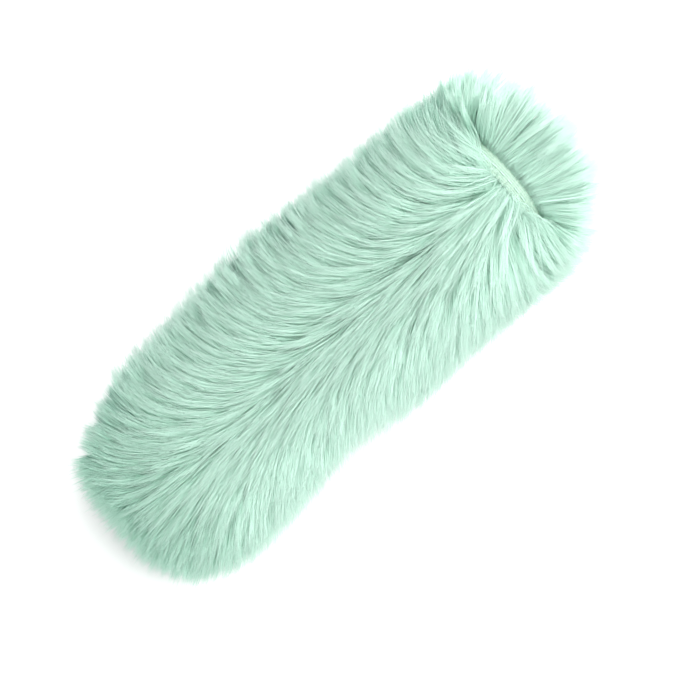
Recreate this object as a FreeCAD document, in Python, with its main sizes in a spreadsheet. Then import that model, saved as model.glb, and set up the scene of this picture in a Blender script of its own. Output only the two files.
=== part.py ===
import FreeCAD, Part
import math
import os

import Sketcher

# A furry microphone windscreen that lies on its side: a long-pile fur sleeve, closed at one
# end and gathered by an elastic at the other, over a removable foam core with a rubber boot.
#
# Frame: +X runs along the sleeve from the closed end to the mouth, +Z is up, and the origin is
# on the floor under the middle of the whole length. Lengths are millimetres, angles degrees.
# Each body's own X counts from the tip of the pile at the closed end ("station"), and its own
# Z = 0 is the sleeve's axis, so every outline below is given as (station, radius).

os.makedirs("parts", exist_ok=True)
doc = FreeCAD.newDocument("furry_windscreen")
sheet = doc.addObject("Spreadsheet::Sheet", "Sizes")

SIZES = {
    # the whole
    "overall_length": 266.0,
    "axis_height": 39.0,
    "layer_gap": 0.3,
    # pile: outer shape of the combed fur
    "pile_radius": 47.5,
    "end_rounding": 38.0,
    "mouth_slope": 11.0,
    "mouth_edge": 2.0,
    "mouth_shoulder": 3.0,
    "frill_radius": 43.5,
    "frill_tip_radius": 29.5,
    "frill_bulge": 38.0,
    "frill_bore": 27.9,
    "frill_lip": 0.5,
    "frill_foot": 1.5,
    # knitted backing of the fur
    "cloth": 1.2,
    "cloth_radius": 29.6,
    "cloth_start": 21.0,
    "hem_station": 232.0,
    "hem_depth": 13.0,
    "end_allowance": 7.0,
    "side_allowance": 7.0,
    # elastic at the mouth
    "elastic_start": 223.0,
    "elastic_width": 7.0,
    "elastic_thickness": 1.1,
    "elastic_lap_angle": 20.0,
    "lap_margin_angle": 12.0,
    "elastic_stitch_count": 38.0,
    "tack_count": 4.0,
    "tack_arc": 12.0,
    "tack_inset": 1.0,
    # thin net lining
    "lining_radius": 25.8,
    "lining_cloth": 0.5,
    "lining_start": 22.8,
    "lining_mouth": 225.0,
    # sewing thread
    "thread": 0.4,
    "stitch": 2.6,
    "thread_clearance": 0.1,
    "seam_ring_count": 42.0,
    "seam_pitch": 4.0,
    "seam_margin": 1.0,
    "seam_inset": 2.0,
    "lining_seam_inset": 1.5,
    # foam core
    "core_radius": 25.5,
    "foam_bore": 10.5,
    "nose_start": 23.7,
    "nose_length": 21.3,
    "nose_flat": 9.0,
    "glue": 0.3,
    "glue_inset": 1.0,
    # rubber boot
    "boot_front": 228.0,
    "boot_flange": 14.0,
    "boot_spigot": 8.0,
    "boot_radius": 25.2,
    "spigot_radius": 13.0,
    "mic_bore": 9.5,
    "boot_rounding": 1.5,
    "bore_lead_in": 1.0,
}
for row, (alias, number) in enumerate(SIZES.items(), start=1):
    sheet.set(f"A{row}", alias)
    sheet.set(f"B{row}", str(number))
    sheet.setAlias(f"B{row}", alias)
doc.recompute()


class Size:
    """A length: its number, and the expression on the sheet that gives that number."""

    def __init__(self, number, text):
        self.number = number
        self.text = text

    def __add__(self, other):
        other = as_size(other)
        return Size(self.number + other.number, f"({self.text} + {other.text})")

    def __sub__(self, other):
        other = as_size(other)
        return Size(self.number - other.number, f"({self.text} - {other.text})")

    def __mul__(self, other):
        other = as_size(other)
        return Size(self.number * other.number, f"({self.text} * {other.text})")

    def __truediv__(self, other):
        other = as_size(other)
        return Size(self.number / other.number, f"({self.text} / {other.text})")

    def __neg__(self):
        return Size(-self.number, f"(-1 * {self.text})")


def as_size(value):
    return value if isinstance(value, Size) else Size(float(value), str(value))


def size(alias):
    """The size that the sheet holds under this alias."""
    return Size(float(sheet.get(alias)), f"Sizes.{alias}")


def root(value):
    return Size(math.sqrt(value.number), f"sqrt({value.text})")


def bind(thing, path, value):
    thing.setExpression(path, as_size(value).text)


def arc_height(radius, reach):
    """How far an arc's point stands from its centre line, `reach` along that line."""
    return root(radius * radius - reach * reach)


# ---------------------------------------------------------------- sketches and features

AXIS = size("axis_height")
ZERO = as_size(0)
bodies = []


def new_body(label):
    """A body on the sleeve's axis, with its X counted from the closed end."""
    body = doc.addObject("PartDesign::Body", label)
    body.Label = label
    body.AllowCompound = True
    bind(body, "Placement.Base.x", -(size("overall_length") / 2))
    bind(body, "Placement.Base.z", AXIS)
    bodies.append(body)
    return body


def datum(body, role):
    """One of the body's own origin planes or axes."""
    return next(feature for feature in body.Origin.OriginFeatures if feature.Role == role)


def new_sketch(body, name, plane, offset=ZERO):
    sketch = body.newObject("Sketcher::SketchObject", name)
    sketch.AttachmentSupport = (datum(body, plane), [""])
    sketch.MapMode = "FlatFace"
    bind(sketch, "AttachmentOffset.Base.z", offset)
    return sketch


def place(sketch, geometry, point, spot):
    """Ties a point of the sketch to its place (across, up) from the sketch's origin."""
    for kind, value, axis in (("DistanceX", spot[0], -2), ("DistanceY", spot[1], -1)):
        if value.number == 0:
            sketch.addConstraint(Sketcher.Constraint("PointOnObject", geometry, point, axis))
            continue
        constraint = Sketcher.Constraint(kind, -1, 1, geometry, point, value.number)
        index = sketch.addConstraint(constraint)
        bind(sketch, f"Constraints[{index}]", value)


def arc_between(start, end, radius, left):
    """A circular arc of the given radius; `left` puts its centre left of start-to-end."""
    a = FreeCAD.Vector(start[0].number, start[1].number, 0)
    b = FreeCAD.Vector(end[0].number, end[1].number, 0)
    half = (b - a) / 2
    rise = math.sqrt(max(radius.number**2 - half.Length**2, 0.0))
    aside = FreeCAD.Vector(-half.y, half.x, 0).normalize() * rise
    centre = a + half + (aside if left else -aside)
    circle = Part.Circle(centre, FreeCAD.Vector(0, 0, 1), radius.number)
    first, last = (a, b) if left else (b, a)
    return Part.ArcOfCircle(circle, circle.parameter(first), circle.parameter(last))


def closed_outline(sketch, corners):
    """Draws a closed outline.

    A corner is (across, up), reached by a straight line, or (across, up, radius, left),
    reached by an arc with its centre on that side of the way there."""
    edges = []
    for here, there in zip(corners, corners[1:] + corners[:1]):
        a, b = [tuple(as_size(v) for v in corner[:2]) for corner in (here, there)]
        if len(there) == 2:
            ends = [FreeCAD.Vector(v[0].number, v[1].number, 0) for v in (a, b)]
            geometry = sketch.addGeometry(Part.LineSegment(*ends), False)
            edges.append((geometry, 1, 2))
            continue
        radius, left = as_size(there[2]), there[3]
        geometry = sketch.addGeometry(arc_between(a, b, radius, left), False)
        edges.append((geometry, 1, 2) if left else (geometry, 2, 1))
        if a[0].text == b[0].text:
            # a half circle on an upright chord has its centre on that chord
            sketch.addConstraint(Sketcher.Constraint("Vertical", geometry, 3, geometry, 1))
            continue
        index = sketch.addConstraint(Sketcher.Constraint("Radius", geometry, radius.number))
        bind(sketch, f"Constraints[{index}]", radius)
    for number, (geometry, _, tail) in enumerate(edges):
        following, head, _ = edges[(number + 1) % len(edges)]
        joint = Sketcher.Constraint("Coincident", geometry, tail, following, head)
        sketch.addConstraint(joint)
        corner = corners[(number + 1) % len(corners)]
        place(sketch, geometry, tail, [as_size(v) for v in corner[:2]])


def circle(sketch, across, up, radius):
    centre = FreeCAD.Vector(across.number, up.number, 0)
    normal = FreeCAD.Vector(0, 0, 1)
    geometry = sketch.addGeometry(Part.Circle(centre, normal, radius.number), False)
    place(sketch, geometry, 3, (across, up))
    index = sketch.addConstraint(Sketcher.Constraint("Radius", geometry, radius.number))
    bind(sketch, f"Constraints[{index}]", radius)


def spin(body, name, corners):
    """A solid turned about the sleeve's axis, from an outline of (station, radius)."""
    sketch = new_sketch(body, f"{name}_outline", "XZ_Plane")
    closed_outline(sketch, corners)
    turned = body.newObject("PartDesign::Revolution", name)
    turned.Profile = sketch
    turned.ReferenceAxis = (sketch, ["H_Axis"])
    turned.Angle = 360
    doc.recompute()
    return turned


def box_outline(start, end, inner, outer):
    return [(start, inner), (end, inner), (end, outer), (start, outer)]


def cut(body, feature):
    """Recomputes a cutting feature, and checks that it really took material away."""
    before = feature.BaseFeature.Shape.Volume
    doc.recompute()
    if feature.Shape.Volume >= before:
        raise RuntimeError(f"{feature.Label} of {body.Label} cuts nothing")


def flatten_base(body):
    """Cuts the pile off level with the floor that it lies on."""
    sketch = new_sketch(body, "floor_outline", "XY_Plane", -AXIS)
    width = size("pile_radius")
    end = size("overall_length")
    closed_outline(sketch, box_outline(ZERO, end, -width, width))
    pocket = body.newObject("PartDesign::Pocket", "floor_cut")
    pocket.Profile = sketch
    pocket.Type = 1
    cut(body, pocket)


def new_ring(label, middle, arc):
    """A body turned so that a ring of pieces is centred on the angle `middle`.

    The first piece is drawn on top, at angle 0, and the underside is at 180."""
    body = new_body(label)
    body.Placement.Rotation = FreeCAD.Rotation(FreeCAD.Vector(1, 0, 0), 1)
    bind(body, "Placement.Rotation.Angle", as_size(middle) - arc / 2)
    return body


def repeat_round(body, feature, count, arc):
    pattern = body.newObject("PartDesign::PolarPattern", "round_the_axis")
    pattern.Originals = [feature]
    pattern.Axis = (datum(body, "X_Axis"), [""])
    bind(pattern, "Angle", arc)
    bind(pattern, "Occurrences", count)
    body.Tip = pattern
    doc.recompute()


def stitch_ring(label, station, radius, count, arc=as_size(360)):
    """A ring of running stitches round the sleeve, each a short bent rod of thread."""
    body = new_ring(label, 0, arc)
    sketch = new_sketch(body, "thread_outline", "XZ_Plane")
    circle(sketch, station, radius, size("thread") / 2)
    stitch = body.newObject("PartDesign::Revolution", "stitch")
    stitch.Profile = sketch
    stitch.ReferenceAxis = (sketch, ["H_Axis"])
    stitch.Midplane = True
    bind(stitch, "Angle", size("stitch") / radius * (180 / math.pi))
    doc.recompute()
    repeat_round(body, stitch, count, arc)


def stitch_row(label, start, end, height):
    """A straight row of stitches along the sleeve, at this height from its axis."""
    body = new_body(label)
    sketch = new_sketch(body, "thread_outline", "YZ_Plane", start)
    circle(sketch, ZERO, height, size("thread") / 2)
    stitch = body.newObject("PartDesign::Pad", "stitch")
    stitch.Profile = sketch
    bind(stitch, "Length", size("stitch"))
    doc.recompute()
    pattern = body.newObject("PartDesign::LinearPattern", "along_the_seam")
    pattern.Originals = [stitch]
    pattern.Direction = (datum(body, "X_Axis"), [""])
    steps = Size(0.0, f"floor(({end.text} - {start.text}) / Sizes.seam_pitch)")
    bind(pattern, "Length", Size(0.0, f"({steps.text} * Sizes.seam_pitch)"))
    bind(pattern, "Occurrences", Size(0.0, f"({steps.text} + 1)"))
    body.Tip = pattern
    doc.recompute()


def circular_edges(shape, radius, station):
    """Names of the shape's full circles of this radius at this station."""
    names = []
    for number, edge in enumerate(shape.Edges, start=1):
        curve = edge.Curve
        if not isinstance(curve, Part.Circle):
            continue
        close = abs(curve.Radius - radius.number) < 0.01
        if close and abs(edge.BoundBox.XMin - station.number) < 0.01:
            names.append(f"Edge{number}")
    return names


# ---------------------------------------------------------------- shared stations and radii

GAP = size("layer_gap")
CLOTH = size("cloth")
OUTER_CLOTH = size("cloth_radius")
INNER_CLOTH = OUTER_CLOTH - CLOTH
# the hem folds inside: its turned-in layer lies one gap within the wall
FOLD_OUTER = INNER_CLOTH - GAP
FOLD_INNER = FOLD_OUTER - CLOTH
FOLD_RADIUS = CLOTH + GAP / 2
FOLD_STATION = size("hem_station") - FOLD_RADIUS
PILE_INNER = OUTER_CLOTH + GAP
CLOTH_START = size("cloth_start")
PILE = size("pile_radius")
ROUNDING = size("end_rounding")
ELASTIC_START = size("elastic_start")
ELASTIC_END = ELASTIC_START + size("elastic_width")
ELASTIC_INNER = OUTER_CLOTH + GAP
ELASTIC_OUTER = ELASTIC_INNER + size("elastic_thickness")
LINING_OUTER = size("lining_radius") + size("lining_cloth")
# stitches lie in the space between the lining and the turned-in cloth
STITCH_RADIUS = (LINING_OUTER + FOLD_INNER) / 2
THREAD = size("thread")
ON_TOP = THREAD / 2 + size("thread_clearance")
SEAM_START = CLOTH_START + size("end_allowance") + size("seam_margin")
SEAM_END = size("hem_station") - size("hem_depth") - size("seam_margin")


# ---------------------------------------------------------------- fur cover: backing cloth


def body_backing():
    """The tube of knitted cloth, its mouth hemmed inwards and its long seam turned inwards."""
    body = new_body("body_backing")
    hem_end = size("hem_station") - size("hem_depth")
    spin(body, "wall_and_hem", [
        (CLOTH_START, INNER_CLOTH),
        (FOLD_STATION, INNER_CLOTH),
        (FOLD_STATION, FOLD_OUTER, GAP / 2, False),
        (hem_end, FOLD_OUTER),
        (hem_end, FOLD_INNER),
        (FOLD_STATION, FOLD_INNER),
        (FOLD_STATION, OUTER_CLOTH, FOLD_RADIUS, True),
        (CLOTH_START, OUTER_CLOTH),
    ])

    # the seam, along the underside: two edges that meet, each turned in against the wall
    slit = new_sketch(body, "seam_slit_outline", "YZ_Plane", CLOTH_START)
    half_slit = GAP / 2
    closed_outline(slit, box_outline(-half_slit, half_slit, -PILE, -FOLD_INNER))
    opened = body.newObject("PartDesign::Pocket", "seam_slit")
    opened.Profile = slit
    opened.Reversed = True
    bind(opened, "Length", SEAM_END - CLOTH_START)
    cut(body, opened)

    flap = new_sketch(body, "seam_flap_outline", "YZ_Plane", SEAM_START)
    reach = size("side_allowance")
    fold = half_slit + CLOTH
    closed_outline(flap, [
        (half_slit, -INNER_CLOTH - CLOTH / 2),
        (fold, -INNER_CLOTH - CLOTH / 2),
        (fold, -arc_height(FOLD_OUTER, fold)),
        (reach, -arc_height(FOLD_OUTER, reach), FOLD_OUTER, True),
        (reach, -arc_height(FOLD_INNER, reach)),
        (half_slit, -arc_height(FOLD_INNER, half_slit), FOLD_INNER, False),
    ])
    allowance = body.newObject("PartDesign::Pad", "seam_flap")
    allowance.Profile = flap
    bind(allowance, "Length", SEAM_END - SEAM_START)
    doc.recompute()
    other = body.newObject("PartDesign::Mirrored", "other_seam_flap")
    other.Originals = [allowance]
    other.MirrorPlane = (datum(body, "XZ_Plane"), [""])
    body.Tip = other
    doc.recompute()


def end_backing():
    """The round cloth end, its rim turned in along the tube's wall."""
    rim = CLOTH_START + size("end_allowance")
    body = new_body("end_backing")
    spin(body, "disc_and_rim", [
        (CLOTH_START, ZERO),
        (CLOTH_START, FOLD_OUTER - CLOTH),
        (CLOTH_START + CLOTH, FOLD_OUTER, CLOTH, False),
        (rim, FOLD_OUTER),
        (rim, FOLD_INNER),
        (CLOTH_START + CLOTH, FOLD_INNER),
        (CLOTH_START + CLOTH, ZERO),
    ])


# ---------------------------------------------------------------- fur cover: pile

def rounded_end_radius(station):
    """Radius of the rounded closed end at a station between its tip and its shoulder."""
    return PILE - ROUNDING + arc_height(ROUNDING, ROUNDING - station)


def body_pile():
    """Fur of the tube, rounded at the closed end and sloping back from the elastic."""
    body = new_body("body_pile")
    start = CLOTH_START
    end = ELASTIC_START - GAP
    spin(body, "pile", [
        (start, PILE_INNER),
        (end, PILE_INNER),
        (end, ELASTIC_OUTER + size("mouth_edge")),
        (end - size("mouth_slope") / 2, PILE - size("mouth_shoulder")),
        (end - size("mouth_slope"), PILE),
        (ROUNDING, PILE),
        (start, rounded_end_radius(start), ROUNDING, True),
    ])
    flatten_base(body)


def end_pile():
    """Fur of the closed end, a blunt dome."""
    body = new_body("end_pile")
    base = CLOTH_START - GAP
    spin(body, "pile", [
        (ZERO, ZERO),
        (base, ZERO),
        (base, rounded_end_radius(base)),
        (ZERO, PILE - ROUNDING, ROUNDING, True),
    ])
    flatten_base(body)


def frill_pile():
    """Fur of the hem beyond the elastic, which flares out round the mouth."""
    body = new_body("frill_pile")
    root_station = size("hem_station") + GAP
    bore = size("frill_bore")
    tip = size("overall_length")
    spin(body, "pile", [
        (root_station, bore),
        (tip, bore),
        (tip, size("frill_tip_radius")),
        (size("hem_station") - size("frill_lip"), size("frill_radius"), size("frill_bulge"), True),
        (ELASTIC_END + GAP * 2, ELASTIC_OUTER + size("frill_foot")),
        (root_station, PILE_INNER + GAP),
    ])
    flatten_base(body)


# ---------------------------------------------------------------- fur cover: elastic and lining


def elastic_band():
    """Woven elastic round the mouth; its two ends lap on the underside."""
    body = new_body("elastic_band")
    spin(body, "band", box_outline(ELASTIC_START, ELASTIC_END, ELASTIC_INNER, ELASTIC_OUTER))
    lap = new_sketch(body, "lap_outline", "XZ_Plane")
    lap_outer = -ELASTIC_OUTER - size("elastic_thickness")
    middle = -ELASTIC_OUTER + size("elastic_thickness") / 2
    closed_outline(lap, box_outline(ELASTIC_START, ELASTIC_END, lap_outer, middle))
    lapped = body.newObject("PartDesign::Revolution", "lap")
    lapped.Profile = lap
    lapped.ReferenceAxis = (lap, ["H_Axis"])
    lapped.Midplane = True
    bind(lapped, "Angle", size("elastic_lap_angle"))
    doc.recompute()


def elastic_bar_tack():
    """Rows of thread along the sleeve that hold the elastic's lap."""
    arc = size("tack_arc")
    body = new_ring("elastic_bar_tack", 180, arc)
    inset = size("tack_inset")
    sketch = new_sketch(body, "thread_outline", "YZ_Plane", ELASTIC_START + inset)
    circle(sketch, ZERO, ELASTIC_OUTER + size("elastic_thickness") + ON_TOP, THREAD / 2)
    tack = body.newObject("PartDesign::Pad", "tack")
    tack.Profile = sketch
    bind(tack, "Length", size("elastic_width") - inset * 2)
    doc.recompute()
    repeat_round(body, tack, size("tack_count"), arc)


def lining_tube():
    body = new_body("lining_tube")
    start = size("lining_start") + size("lining_cloth") + size("thread_clearance")
    spin(body, "wall", box_outline(
        start, size("lining_mouth"), size("lining_radius"), LINING_OUTER))


def lining_end():
    body = new_body("lining_end")
    start = size("lining_start")
    spin(body, "disc", box_outline(start, start + size("lining_cloth"), ZERO, LINING_OUTER))


def seams():
    """Every row of stitches in the cover; the elastic's leaves its lap to the bar tack."""
    inset = size("seam_inset")
    arc = as_size(360) - size("elastic_lap_angle") - size("lap_margin_angle")
    middle = ELASTIC_START + size("elastic_width") / 2
    count = size("elastic_stitch_count")
    stitch_ring("elastic_stitches", middle, ELASTIC_OUTER + ON_TOP, count, arc)
    between_ends = (CLOTH_START + CLOTH + size("lining_start")) / 2
    rings = {
        "hem_stitches": (ELASTIC_END - inset, STITCH_RADIUS),
        "lining_hem_stitches": (size("lining_mouth") - inset, STITCH_RADIUS),
        "end_seam_stitches": (CLOTH_START + size("end_allowance") - inset, STITCH_RADIUS),
        "lining_end_stitches": (between_ends, LINING_OUTER - size("lining_seam_inset")),
    }
    for label, (station, radius) in rings.items():
        stitch_ring(label, station, radius, size("seam_ring_count"))
    stitch_row("side_seam_stitches", SEAM_START, SEAM_END, -STITCH_RADIUS)
    stitch_row("lining_side_stitches", SEAM_START, SEAM_END, STITCH_RADIUS)


# ---------------------------------------------------------------- foam core

CORE = size("core_radius")
NOSE_START = size("nose_start")
NOSE_END = NOSE_START + size("nose_length")
SLEEVE_START = NOSE_END + size("glue")
FLANGE_START = size("boot_front") - size("boot_flange")
SLEEVE_END = FLANGE_START - size("glue")
SPIGOT = size("spigot_radius")


def foam_sleeve():
    """The long foam tube: bored through for the microphone, counterbored for the boot."""
    body = new_body("foam_sleeve")
    ring = new_sketch(body, "ring_outline", "YZ_Plane", SLEEVE_START)
    circle(ring, ZERO, ZERO, CORE)
    circle(ring, ZERO, ZERO, size("foam_bore"))
    sleeve = body.newObject("PartDesign::Pad", "sleeve")
    sleeve.Profile = ring
    bind(sleeve, "Length", SLEEVE_END - SLEEVE_START)
    doc.recompute()
    seat = new_sketch(body, "spigot_seat_outline", "YZ_Plane", SLEEVE_END)
    circle(seat, ZERO, ZERO, SPIGOT + GAP / 2)
    counterbore = body.newObject("PartDesign::Pocket", "spigot_seat")
    counterbore.Profile = seat
    bind(counterbore, "Length", size("boot_spigot") + GAP)
    cut(body, counterbore)


def foam_nose():
    """The solid foam plug that closes the sleeve, its front edge rounded."""
    body = new_body("foam_nose")
    bulge = CORE - size("nose_flat")
    spin(body, "plug", [
        (NOSE_START, ZERO),
        (NOSE_END, ZERO),
        (NOSE_END, CORE),
        (NOSE_START + bulge, CORE),
        (NOSE_START, size("nose_flat"), bulge, True),
    ])


def mic_boot():
    """The rubber collar that grips the microphone: a flange, and a spigot in the foam."""
    body = new_body("mic_boot")
    back = FLANGE_START - size("boot_spigot")
    front = size("boot_front")
    collar = spin(body, "collar", [
        (back, size("mic_bore")),
        (front, size("mic_bore")),
        (front, size("boot_radius")),
        (FLANGE_START, size("boot_radius")),
        (FLANGE_START, SPIGOT),
        (back, SPIGOT),
    ])
    rounding = body.newObject("PartDesign::Fillet", "rim_rounding")
    rounding.Base = (collar, circular_edges(collar.Shape, size("boot_radius"), front))
    bind(rounding, "Radius", size("boot_rounding"))
    cut(body, rounding)
    lead_in = body.newObject("PartDesign::Chamfer", "bore_lead_in")
    lead_in.Base = (rounding, circular_edges(rounding.Shape, size("mic_bore"), front))
    bind(lead_in, "Size", size("bore_lead_in"))
    cut(body, lead_in)


def glue_layers():
    """The two films of glue that hold the core together."""
    nose = new_body("nose_glue")
    inset = size("glue_inset")
    spin(nose, "film", box_outline(
        NOSE_END, SLEEVE_START, size("foam_bore") + inset, CORE - inset))
    boot = new_body("boot_glue")
    spin(boot, "film", box_outline(
        SLEEVE_END, FLANGE_START, SPIGOT + inset, size("boot_radius") - inset))


# ---------------------------------------------------------------- build, check and write

body_backing()
end_backing()
body_pile()
end_pile()
frill_pile()
elastic_band()
elastic_bar_tack()
lining_tube()
lining_end()
seams()
foam_sleeve()
foam_nose()
mic_boot()
glue_layers()
doc.recompute()

for thing in doc.Objects:
    if {"Invalid", "Error"} & set(thing.State):
        raise RuntimeError(f"{thing.Label} failed: {thing.State}")
for body in bodies:
    if body.Shape.isNull() or not body.Shape.isValid():
        raise RuntimeError(f"{body.Label} has no valid shape")
for body in bodies:
    body.Shape.exportStep(f"parts/{body.Label}.step")
    solids, volume = len(body.Shape.Solids), body.Shape.Volume
    box = body.Shape.optimalBoundingBox(False, False)
    print(f"{body.Label:22s} {solids:3d} solids {volume:11.1f} mm3",
          f"x {box.XMin:8.2f} {box.XMax:8.2f}  z {box.ZMin:6.2f} {box.ZMax:6.2f}")
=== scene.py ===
from collections import namedtuple
import itertools
import math

import bpy
import numpy as np
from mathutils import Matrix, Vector


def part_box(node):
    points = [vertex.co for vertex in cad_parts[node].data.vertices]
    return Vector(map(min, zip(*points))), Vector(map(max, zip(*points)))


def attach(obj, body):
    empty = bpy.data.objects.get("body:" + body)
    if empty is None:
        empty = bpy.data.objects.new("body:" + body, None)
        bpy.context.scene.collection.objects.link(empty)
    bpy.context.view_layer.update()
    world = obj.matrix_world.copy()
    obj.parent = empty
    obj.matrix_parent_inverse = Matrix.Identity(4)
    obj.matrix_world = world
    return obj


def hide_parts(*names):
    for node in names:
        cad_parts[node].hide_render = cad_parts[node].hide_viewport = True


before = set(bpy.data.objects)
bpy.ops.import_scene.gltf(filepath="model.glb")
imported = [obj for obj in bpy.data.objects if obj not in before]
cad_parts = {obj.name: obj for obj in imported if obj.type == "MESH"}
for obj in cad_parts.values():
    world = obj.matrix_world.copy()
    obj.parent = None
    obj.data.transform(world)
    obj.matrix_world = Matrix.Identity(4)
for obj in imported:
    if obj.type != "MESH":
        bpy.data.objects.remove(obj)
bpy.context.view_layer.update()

# A furry microphone windscreen lying on its side. Its three pile solids are replaced by locks of
# combed fur, strand by strand; its cloth, elastic, thread, foam and rubber keep their CAD shapes
# or get a finer mesh. All lengths are metres; mm turns millimetres into them.

mm = 0.001

# ------------------------------------------------------------------ places read from the frame


def corners(node):
    low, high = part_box(node)
    return np.array(low), np.array(high)


wall_low, wall_high = corners("body_backing")
band_low, band_high = corners("elastic_band")
_, pile_high = corners("body_pile")
end_low, _ = corners("end_pile")
_, frill_high = corners("frill_pile")
core_low, core_high = corners("foam_sleeve")

AXIS_Z = (wall_low[2] + wall_high[2]) / 2
CLOTH_R = (wall_high[2] - wall_low[2]) / 2
CLOTH_END_X = wall_low[0]
HEM_X = wall_high[0]
BAND_X = band_low[0]
PILE_R = pile_high[2] - AXIS_Z
TIP_X = end_low[0]
FRILL_X = frill_high[0]
WIDEST = pile_high[1] + 11 * mm  # the furthest that any fur stands to either side
CORE_R = (core_high[2] - core_low[2]) / 2
CLEAR_R = CORE_R + 0.9 * mm  # fur past the hem stays outside this, so the foam slides out freely
OVER_BAND_R = band_high[2] - AXIS_Z + 0.15 * mm  # fur over the elastic stays outside this
FLOOR_GAP = 0.4 * mm  # between the lowest fur and the floor
CLOTH_THICK = 1.2 * mm
FOLD_R = 1.35 * mm  # of the folded edge at the mouth

# ------------------------------------------------------------------ small vector helpers


def unit(v):
    return v / np.maximum(np.linalg.norm(v, axis=-1, keepdims=True), 1e-12)


def smooth(x, low, high):
    """0 below low, 1 above high, and an even curve between."""
    s = np.clip((x - low) / (high - low), 0, 1)
    return s * s * (3 - 2 * s)


def hump(x, middle, width):
    """1 at the middle, and an even fall to 0 on both sides of it."""
    return np.exp(-((x - middle) / width) ** 2)


def mix(a, b, share):
    return a + (b - a) * share


# ------------------------------------------------------------------ how the fur lies

PARTING = math.radians(24)  # angle of the parting from the top, towards -Y
ROUND_X = CLOTH_END_X + 26 * mm  # from here to the tip the fur fans out round the closed end
END_ROUNDING = 38 * mm  # radius of the closed end's edge, measured over the fur
WEDGE = -1.5  # where the frill and the tube's fur stand apart, as an angle off the parting
WEDGE_WIDTH = 0.4
DOME_LENGTH = FRILL_X + 4 * mm - BAND_X  # the fur's round outline from the elastic to the tips
DOME_R = 47 * mm

# How far the fur turns from the sleeve's length, and the angle off the parting by which it has
# turned most of that, both in degrees: on the shaded side (+Y), the other side and at the mouth.
TURN_SHADED, TURN_LIT, TURN_MOUTH = 122, 92, 122
TURNED_BY_SHADED, TURNED_BY_LIT, TURNED_BY_MOUTH = 50, 60, 40

# How much of a hair's way out past the fur's outer surface is taken from it: PRESSED at the
# surface, less inside it, more outside it, and never more than the most for its place.
PRESSED = 0.35
PRESSED_DEPTH = 6 * mm
MOST_PRESSED, MOST_PRESSED_LIT, MOST_PRESSED_FRILL = 0.55, 0.35, 0.1
STEEPEST_CLIMB = 0.3  # of a hair that is kept above the floor


def around(points):
    """Angle of each point round the axis, from the top towards -Y, and its unit direction."""
    y, z = points[:, 1], points[:, 2] - AXIS_Z
    angle = np.arctan2(-y, z)
    zero = np.zeros(len(points))
    onward = np.stack([zero, -np.cos(angle), -np.sin(angle)], 1)
    return angle, onward


def outward(points):
    """Away from the sleeve: square to its axis, and fanning out round the closed end."""
    past = np.minimum(points[:, 0] - ROUND_X, 0)
    return unit(np.stack([past, points[:, 1], points[:, 2] - AXIS_Z], 1))


def headroom(points):
    """How far each point is inside the fur's outer surface, and the way out to it."""
    across = points - [0, 0, AXIS_Z]
    across[:, 0] = 0
    radius = np.linalg.norm(across, axis=1)
    beyond = across * (np.maximum(radius - (PILE_R - END_ROUNDING), 0) / (radius + 1e-9))[:, None]
    beyond[:, 0] = np.minimum(points[:, 0] - (TIP_X + END_ROUNDING), 0)
    forward = np.maximum(points[:, 0] - BAND_X, 0) / DOME_LENGTH
    dome = np.where(forward > 0, (1 - np.hypot(forward, radius / DOME_R)) * DOME_R, np.inf)
    return np.minimum(END_ROUNDING - np.linalg.norm(beyond, axis=1), dome), unit(beyond)


def off_parting(points):
    """Angle from the parting, -pi to pi, and the unit direction that it grows in."""
    angle, onward = around(points)
    return (angle - PARTING + math.pi) % (2 * math.pi) - math.pi, onward


def turned_past(off, low, high):
    """0 less than `low` degrees off the parting, 1 more than `high` degrees, on both sides."""
    return smooth(np.abs(off), math.radians(low), math.radians(high))


def nap(points, swirl):
    """The way the fur is combed along the surface: to the closed end and off the parting."""
    off, onward = off_parting(points)
    near_mouth = smooth(points[:, 0], 10 * mm, BAND_X)
    most = np.where(off < 0, TURN_SHADED, TURN_LIT)
    most = np.radians(mix(most, TURN_MOUTH, near_mouth))
    reach = np.where(off < 0, TURNED_BY_SHADED, TURNED_BY_LIT)
    reach = np.radians(mix(reach, TURNED_BY_MOUTH, near_mouth))
    lean = most * (1 - np.exp(-(np.abs(off) / reach) ** 1.5)) * np.sign(off) + swirl
    along = np.zeros_like(points)
    along[:, 0] = -1
    return along * np.cos(lean)[:, None] + onward * np.sin(lean)[:, None]


def grow(roots, start, wanted, length, steps=14, stiff=0.5):
    """Paths of hairs: each starts along `start` and bends towards wanted(points, u)."""
    points, way = roots.copy(), unit(start)
    path = [points]
    stride = (length / steps)[:, None]
    for step in range(steps):
        u = (step + 0.5) / steps
        way = unit(way * stiff + wanted(points, u) * (1 - stiff))
        spare, out = headroom(points)
        rise = np.sum(way * out, 1, keepdims=True)
        most = mix(MOST_PRESSED, MOST_PRESSED_LIT, smooth(-points[:, 1], 0, 30 * mm))
        most = np.where(points[:, 0] < BAND_X, most, MOST_PRESSED_FRILL)
        held = np.clip(PRESSED - spare / PRESSED_DEPTH, 0, most)[:, None]
        way = unit(way - out * np.maximum(rise, 0) * held)
        lowest = (FLOOR_GAP - points[:, 2]) / stride[:, 0]
        sunk = way[:, 2] < lowest
        level = np.sqrt(np.clip(1 - np.minimum(lowest, 0) ** 2, 0, 1))
        flat = np.hypot(way[:, 0], way[:, 1]) + 1e-9
        way[sunk, :2] *= (level / flat)[sunk, None]
        way[sunk, 2] = np.minimum(lowest, STEEPEST_CLIMB)[sunk]
        points = points + way * stride
        path.append(points)
    return np.stack(path, 1)


# ------------------------------------------------------------------ tresses, locks and strands

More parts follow.
